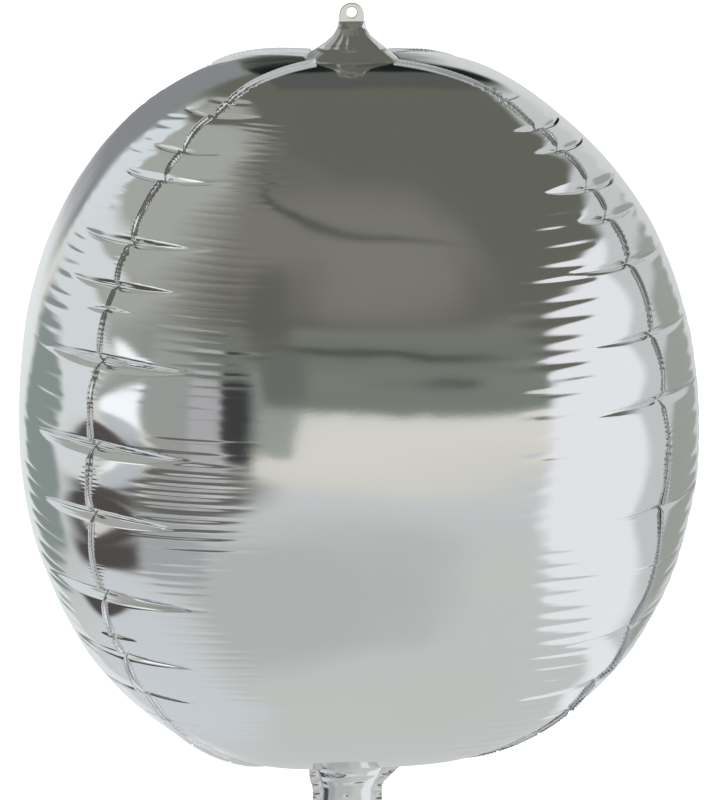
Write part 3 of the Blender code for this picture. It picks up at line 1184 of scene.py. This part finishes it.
@dataclass
class InflationNeck:
    """Two plies of film with sealed edges, and the valve film between them."""

    shape: BodyShape
    length: float = 0.0800
    reach_up: float = 0.0033
    half_gap: float = 0.0006
    columns: int = 64
    rows: int = 110
    wall: float = 0.0003
    seal_thickness: float = 0.0004
    seal_start: float = 0.0030
    seal_overlap: float = 0.0004
    seal_pitch: float = 0.0023
    seal_crimp: float = 0.0004
    drift: float = -0.0022
    drift_start: float = 0.012
    drift_length: float = 0.022
    fold_depth: float = 0.00035
    fold_drop: float = 0.020
    fold_half: float = 0.014
    ruffle_depth: float = 0.00012
    valve_half_angle: float = math.radians(42)
    valve_start: float = 0.0190
    valve_shortfall: float = 0.0100
    valve_inset: float = 0.0010
    valve_wall: float = 0.0002
    # From the root down: (drop, half width, bow, squareness)
    sections: tuple[tuple[float, float, float, float], ...] = (
        (0.0000, 0.0207, 0.0200, 3.3),
        (0.0020, 0.0208, 0.0160, 2.8),
        (0.0080, 0.0210, 0.0110, 2.3),
        (0.0190, 0.0200, 0.0080, 2.0),
        (0.0320, 0.0150, 0.0066, 2.0),
        (0.0500, 0.0150, 0.0060, 2.0),
        (0.0800, 0.0150, 0.0060, 2.0),
    )
    # Outer edges of the two seals: (drop, left, right)
    edges: tuple[tuple[float, float, float], ...] = (
        (0.0000, 0.0262, 0.0270),
        (0.0120, 0.0262, 0.0345),
        (0.0160, 0.0258, 0.0360),
        (0.0205, 0.0250, 0.0310),
        (0.0260, 0.0240, 0.0246),
        (0.0320, 0.0215, 0.0208),
        (0.0800, 0.0208, 0.0208),
    )
    # Dents in the front ply: (x, drop, half width, half height, depth)
    dents: tuple[tuple[float, float, float, float, float], ...] = (
        (-0.0085, 0.0212, 0.0050, 0.0018, 0.0012),
        (0.0040, 0.0185, 0.0110, 0.0013, 0.0008),
        (-0.0020, 0.0350, 0.0022, 0.0016, 0.0007),
        (0.0060, 0.0262, 0.0080, 0.0014, 0.0005),
    )

    def build(self, foil: bpy.types.Material, seal: bpy.types.Material,
              valve: bpy.types.Material) -> None:
        """Model and dress the plies, the seals and the valve film.

        Args:
            foil: Material of the plies.
            seal: Material of the sealed edges.
            valve: Material of the valve film.
        """
        for name, facing in (("neck_front_ply", 1), ("neck_back_ply", -1)):
            ply = dress(self._ply(name, facing), foil, Slot.FOIL, name)
        for name, side in (("neck_seal_right", 1), ("neck_seal_left", -1)):
            dress(self._seal(name, side), seal, Slot.SEAL, name)
        film = dress(self._valve(), valve, Slot.VALVE, "valve_film")

    @property
    def root_z(self) -> float:
        """Height from which the drops are taken, a little under the gores' end."""
        return self.shape.bottom_z - self.reach_up

    def _section(self, drop: Points) -> tuple[Points, Points, Points]:
        """Half width, bow and squareness at distances below the root."""
        drops, *columns = zip(*self.sections)
        return tuple(flow(drop, drops, column, 0.0015) for column in columns)

    def _aside(self, drop: Points) -> Points:
        """How far the neck has swung to one side."""
        share = np.clip((drop - self.drift_start) / self.drift_length, 0, 1)
        return self.drift * share ** 2 * (3 - 2 * share)

    def _point(self, angle: Points, drop: Points, facing: int, inset: float = 0.0) -> Points:
        """Points of a ply.

        Args:
            angle: Angles from the left edge over the ply's middle.
            drop: Distances below the gores' end.
            facing: 1 for the front ply, -1 for the back one.
            inset: Distance in from the ply.

        Returns:
            An array of points.
        """
        half_width, bow, power = self._section(drop)
        reach = rounded_square(angle, power)
        x = -reach * (half_width - inset) * np.cos(angle)
        out = reach * (bow - inset) * np.sin(angle)
        for place, level, wide, high, depth in self.dents:
            out -= depth * hump(x, place, wide) * hump(drop, level, high) * (facing > 0)
        fold = self.fold_depth * np.sin(drop * 1150 + 40 * x)
        fold = fold * hump(drop, self.fold_drop, self.fold_half)
        fold += self.ruffle_depth * np.sin(drop * 620 + 90 * x + facing)
        out = np.maximum(out + fold * np.sin(angle), 0.0)
        y = -facing * (self.half_gap + out)
        return np.stack([x + self._aside(drop), y, self.root_z - drop], -1)

    def _ply(self, name: str, facing: int) -> bpy.types.Object:
        """Model the front or back film of the neck.

        Args:
            name: Its CAD node.
            facing: 1 for the front ply, -1 for the back one.

        Returns:
            The ply as a thin closed wall.
        """
        def surface(across: Points, up: Points) -> Points:
            share = across / self.columns
            angle = math.pi * (share if facing > 0 else 1 - share)
            top = 0.0003 - self.reach_up
            drop = top + (self.length - top) * (1 - up / self.rows)
            return self._point(angle, drop, facing)

        ply = film_grid(name + "_film", self.columns, self.rows, surface)
        apply_modifier(ply, "SOLIDIFY", thickness=self.wall, offset=1.0)
        return ply

    def _seal(self, name: str, side: int) -> bpy.types.Object:
        """Model a sealed edge of the neck, which widens into a web at the root.

        Args:
            name: Its CAD node.
            side: 1 for the right edge, -1 for the left one.

        Returns:
            The sealed edge as a thin closed wall.
        """
        drops, left, right = zip(*self.edges)
        outer = right if side > 0 else left
        columns, rows = 12, 150

        def surface(across: Points, up: Points) -> Points:
            share = across / columns
            drop = self.seal_start + (self.length - self.seal_start) * (1 - up / rows)
            inner = self._section(drop)[0] - self.seal_overlap
            edge = flow(drop, drops, outer, 0.0012)
            tooth = zigzag(drop / self.seal_pitch + 0.5 * np.sin(drop * 240 + side))
            edge = edge + self.seal_crimp * tooth
            x = side * (inner + (edge - inner) * share)
            spare = np.clip((edge - inner) / 0.006, 0.6, 2.0)
            y = share * (0.0005 * tooth + 0.0005 * spare * np.sin(drop * 900 + 260 * x))
            return np.stack([x + self._aside(drop), y, self.root_z - drop], -1)

        seal = film_grid(name + "_strip", columns, rows, surface)
        apply_modifier(seal, "SOLIDIFY", thickness=self.seal_thickness, offset=0.0)
        return seal

    def _valve(self) -> bpy.types.Object:
        """Model the self-sealing valve film that lies along the back of the neck.

        Returns:
            The film as a thin closed wall.
        """
        columns, rows = 24, 60

        def surface(across: Points, up: Points) -> Points:
            angle = math.pi / 2 + self.valve_half_angle * (1 - 2 * across / columns)
            end = self.length - self.valve_shortfall
            drop = self.valve_start + (end - self.valve_start) * (1 - up / rows)
            return self._point(angle, drop, -1, self.valve_inset)

        film = film_grid("valve_film_sheet", columns, rows, surface)
        apply_modifier(film, "SOLIDIFY", thickness=self.valve_wall, offset=1.0)
        return film


# Studio

def lit(tone: tuple[int, int, int], film: float = 0.86) -> Colour:
    """Light that the mirror film shows as a display tone.

    Args:
        tone: The tone, each channel from 0 to 255.
        film: The share of light that the film gives back.

    Returns:
        The light's colour.
    """
    shares = [value / 255 for value in tone]
    plain = [share / 12.92 if share < 0.04045 else ((share + 0.055) / 1.055) ** 2.4
             for share in shares]
    return tuple(value / film for value in plain)


@dataclass(frozen=True)
class Card:
    """A soft rounded patch of light or shade in the surroundings, by direction in degrees.

    A slanted one moves in azimuth by so many degrees for each degree up.
    """

    azimuths: tuple[float, float]
    elevations: tuple[float, float]
    tone: tuple[int, int, int]
    soft: float = 2.0
    slant: float = 0.0
    roundness: float = 3.0


# What the film reflects all round, by elevation in degrees: a pale floor, a bright wall foot
# and a dim ceiling
BANDS = (
    (-90.0, (190, 193, 189)),
    (-60.0, (189, 192, 190)),
    (-35.0, (192, 194, 191)),
    (-22.0, (190, 193, 193)),
    (-15.0, (194, 197, 197)),
    (-11.5, (205, 204, 197)),
    (0.0, (213, 211, 203)),
    (3.0, (210, 210, 203)),
    (5.0, (112, 117, 110)),
    (12.0, (120, 124, 117)),
    (19.0, (111, 115, 107)),
    (26.0, (116, 118, 110)),
    (29.5, (98, 98, 90)),
    (42.0, (109, 108, 100)),
    (54.0, (119, 118, 110)),
    (66.0, (118, 117, 109)),
    (78.0, (108, 107, 99)),
    (90.0, (103, 102, 94)),
)

# Patches over the bands, each over the ones before it: dim ones overhead, a bright side to the
# right with duller ones beyond, the shade behind, and pale and dark ones to the left
CARDS = (
    Card((-158, -62), (22, 72), (162, 163, 158), 36),
    Card((-180, 180), (84, 98), (103, 104, 96), 8),
    Card((26, 210), (8, 98), (98, 99, 91), 6),
    Card((-210, -167), (12, 98), (98, 99, 91), 6),
    Card((-12, -5), (21, 44), (95, 95, 88), 5),
    Card((6, 12), (34, 57), (121, 120, 112), 6),
    Card((-6, -3), (57, 76), (76, 78, 76), 3.5, slant=-1.75),
    Card((-6, 17), (18.6, 19.0), (56, 62, 55), 1.4),
    Card((8, 15), (11.6, 12.6), (80, 84, 81), 1.2),
    Card((-16, -10), (-2, 14), (133, 137, 131), 3),
    Card((-9, -3), (-2, 4.5), (150, 154, 148), 1.5),
    Card((-8, -2), (6.5, 17), (102, 106, 100), 3),
    Card((34.5, 158), (-52, 34), (227, 227, 231), 4.5),
    Card((83, 158), (-38, 39), (192, 194, 194), 8),
    Card((114, 144), (-32, 6), (152, 155, 149), 8),
    Card((150, 170), (-12, 10), (200, 202, 202), 6),
    Card((-186, -164), (-5, 11), (127, 130, 132), 4),
    Card((165, 180), (24, 40), (84, 86, 82), 8),
    Card((165, 181), (8.5, 20), (23, 27, 26), 3),
    Card((-176, -158), (-42, -8), (214, 218, 219), 6),
    Card((-160, -60), (-78, -42), (198, 202, 207), 14),
    Card((-34, 8), (-62, -30), (175, 178, 176), 12),
    Card((-164, -150), (4, 26), (206, 213, 217), 5),
    Card((-150, -84), (-8, 20), (208, 212, 214), 8),
    Card((-154, -124), (-24, -2), (132, 142, 139), 6),
    Card((-72, -52), (-3, 8), (246, 249, 252), 4),
    Card((-72, -56), (-12, -5), (182, 186, 190), 3),
    Card((-50, -31), (-8, 18), (150, 152, 149), 5),
    Card((-30, -22), (-9, 12), (168, 167, 170), 4),
    Card((-18.8, -13.6), (-8, 12), (56, 55, 57), 3.4),
    Card((-108, -52), (-20, -15.5), (78, 74, 71), 3),
    Card((-58, -13), (-17.5, -11.5), (98, 95, 92), 3),
    Card((-116, -57), (-35.5, -22), (78, 74, 73), 4),
    Card((-56, -30), (-38, -23), (160, 162, 165), 4),
)


@dataclass(frozen=True)
class Surroundings:
    """The world: bands and cards for reflections, plain white behind the object."""

    bands: tuple[tuple[float, tuple[int, int, int]], ...] = BANDS
    cards: tuple[Card, ...] = CARDS

    def build(self, scene: bpy.types.Scene) -> None:
        """Make the world.

        Args:
            scene: The scene to light.
        """
        world = bpy.data.worlds.new("studio")
        scene.world = world
        world.use_nodes = True
        tree = world.node_tree
        tree.nodes.clear()
        nodes = NodeSheet(tree)
        place = nodes.add("ShaderNodeTexCoord")
        parts = nodes.add("ShaderNodeSeparateXYZ")
        nodes.join(place, "Generated", parts, "Vector")
        elevation = nodes.sum("DEGREES", nodes.sum("ARCSINE", parts.outputs["Z"]))
        back = nodes.sum("MULTIPLY", parts.outputs["Y"], -1.0)
        azimuth = nodes.sum("DEGREES", nodes.sum("ARCTAN2", parts.outputs["X"], back))

        colour = self._band_colour(nodes, elevation)
        for card in self.cards:
            colour = self._lay_card(nodes, card, azimuth, elevation, colour)

        around = nodes.add("ShaderNodeBackground", Strength=1.0)
        nodes.links.new(colour, around.inputs["Color"])
        behind = nodes.add("ShaderNodeBackground", Strength=1.0)
        behind.inputs["Color"].default_value = (1, 1, 1, 1)
        path = nodes.add("ShaderNodeLightPath")
        mix = nodes.add("ShaderNodeMixShader")
        nodes.links.new(path.outputs["Is Camera Ray"], mix.inputs[0])
        nodes.links.new(around.outputs[0], mix.inputs[1])
        nodes.links.new(behind.outputs[0], mix.inputs[2])
        out = nodes.add("ShaderNodeOutputWorld")
        nodes.links.new(mix.outputs[0], out.inputs["Surface"])

    def _band_colour(self, nodes: NodeSheet,
                     elevation: bpy.types.NodeSocket) -> bpy.types.NodeSocket:
        """Colour the surroundings by height.

        Args:
            nodes: The world's nodes.
            elevation: Elevation of the direction.

        Returns:
            The colour of the bands.
        """
        share = nodes.add("ShaderNodeMapRange")
        share.inputs["From Min"].default_value = -90.0
        share.inputs["From Max"].default_value = 90.0
        nodes.links.new(elevation, share.inputs["Value"])
        ramp = nodes.add("ShaderNodeValToRGB")
        nodes.links.new(share.outputs["Result"], ramp.inputs["Fac"])
        stops = ramp.color_ramp.elements
        while len(stops) < len(self.bands):
            stops.new(0.5)
        for stop, (angle, tone) in zip(stops, self.bands):
            stop.position = (angle + 90) / 180
            stop.color = (*lit(tone), 1)
        return ramp.outputs["Color"]

    @staticmethod
    def _lay_card(nodes: NodeSheet, card: Card, azimuth: bpy.types.NodeSocket,
                  elevation: bpy.types.NodeSocket,
                  under: bpy.types.NodeSocket) -> bpy.types.NodeSocket:
        """Lay one card over the colours so far.

        Args:
            nodes: The world's nodes.
            card: The card.
            azimuth: Azimuth of the direction.
            elevation: Its elevation.
            under: The colour so far.

        Returns:
            The colour with the card.
        """
        rise = nodes.sum("SUBTRACT", elevation, sum(card.elevations) / 2)
        aside = nodes.sum("SUBTRACT", azimuth, sum(card.azimuths) / 2)
        if card.slant:
            aside = nodes.sum("SUBTRACT", aside, nodes.sum("MULTIPLY", rise, card.slant))
        reaches = [(high - low + card.soft) / 2 for low, high in (card.azimuths, card.elevations)]
        shares = [nodes.sum("DIVIDE", nodes.sum("ABSOLUTE", off), reach)
                  for off, reach in zip((aside, rise), reaches)]
        powers = [nodes.sum("POWER", share, card.roundness) for share in shares]
        edge = nodes.sum("POWER", nodes.sum("ADD", *powers), 1 / card.roundness)
        fade = nodes.add("ShaderNodeMapRange")
        fade.interpolation_type = "SMOOTHSTEP"
        fade.inputs["From Min"].default_value = 1 + card.soft / 2 / min(reaches)
        fade.inputs["From Max"].default_value = 1 - card.soft / 2 / min(reaches)
        nodes.links.new(edge, fade.inputs["Value"])
        mix = nodes.add("ShaderNodeMix", data_type="RGBA")
        nodes.links.new(fade.outputs["Result"], mix.inputs[0])
        nodes.links.new(under, nodes.colour_input(mix, "A"))
        nodes.colour_input(mix, "B").default_value = (*lit(card.tone), 1)
        return nodes.colour_output(mix)


@dataclass
class Studio:
    """Floor, lights and the camera at the photograph's viewing angle."""

    shape: BodyShape
    floor_drop: float = 0.30
    floor_size: float = 40.0
    floor_tone: float = 0.9
    floor_glow: float = 1.0
    camera_distance: float = 1.536
    camera_elevation: float = math.radians(14.91)
    camera_azimuth: float = math.radians(-5.80)
    focal_pixels: float = 2636.0
    centre_pixel: tuple[float, float] = (351.6, 410.5)
    sensor: float = 36.0

    def build(self) -> None:
        """Set up the floor, the surroundings and the camera."""
        scene = bpy.context.scene
        scene.view_settings.view_transform = "Standard"
        Surroundings().build(scene)
        self._floor()
        self._camera(scene, Vector((0, 0, self.shape.centre_z)))

    def _floor(self) -> None:
        """Pale plain floor under the hanging balloon, seen only from above."""
        deselect()
        low = self.shape.bottom_z - self.floor_drop
        bpy.ops.mesh.primitive_plane_add(size=self.floor_size, location=(0, 0, low))
        floor = bpy.context.active_object
        floor.name = "floor"
        nodes = NodeSheet.for_material("pale_floor")
        nodes.shader.inputs["Base Color"].default_value = (*(self.floor_tone,) * 3, 1)
        nodes.shader.inputs["Roughness"].default_value = 0.9
        nodes.shader.inputs["Emission Color"].default_value = (1, 1, 1, 1)
        nodes.shader.inputs["Emission Strength"].default_value = self.floor_glow
        side = nodes.add("ShaderNodeNewGeometry")
        clear = nodes.add("ShaderNodeBsdfTransparent")
        mix = nodes.add("ShaderNodeMixShader")
        nodes.links.new(side.outputs["Backfacing"], mix.inputs[0])
        nodes.links.new(nodes.shader.outputs[0], mix.inputs[1])
        nodes.links.new(clear.outputs[0], mix.inputs[2])
        nodes.links.new(mix.outputs[0], nodes.tree.nodes["Material Output"].inputs["Surface"])
        floor.data.materials.append(nodes.material)
        floor.visible_glossy = False

    def _camera(self, scene: bpy.types.Scene, centre: Vector) -> None:
        """Camera at the photograph's viewing angle.

        Args:
            scene: The scene it belongs to.
            centre: The point it looks at.
        """
        flat = math.cos(self.camera_elevation)
        back = Vector((
            flat * math.sin(self.camera_azimuth),
            -flat * math.cos(self.camera_azimuth),
            math.sin(self.camera_elevation),
        ))
        data = bpy.data.cameras.new("photo_view")
        data.sensor_fit = "HORIZONTAL"
        data.sensor_width = self.sensor
        data.lens = self.focal_pixels / PHOTO_SIZE[0] * self.sensor
        data.shift_x = (PHOTO_SIZE[0] / 2 - self.centre_pixel[0]) / PHOTO_SIZE[0]
        data.shift_y = (self.centre_pixel[1] - PHOTO_SIZE[1] / 2) / PHOTO_SIZE[0]
        camera = bpy.data.objects.new("photo_view", data)
        scene.collection.objects.link(camera)
        camera.location = centre + back * self.camera_distance
        camera.rotation_euler = (-back).to_track_quat("-Z", "Y").to_euler()
        scene.camera = camera


def main() -> None:
    """Build the balloon's pieces in order, then the studio."""
    logging.basicConfig(level=logging.INFO, format="%(name)s: %(message)s")
    shape = BodyShape()
    foil, seal, valve = FOIL.build(), SEAL.build(), VALVE.build()
    FilmBody(shape).build(foil, seal)
    HangTab(shape).build(foil)
    InflationNeck(shape).build(foil, seal, valve)
    Studio(shape).build()


if __name__ == "__main__":
    main()
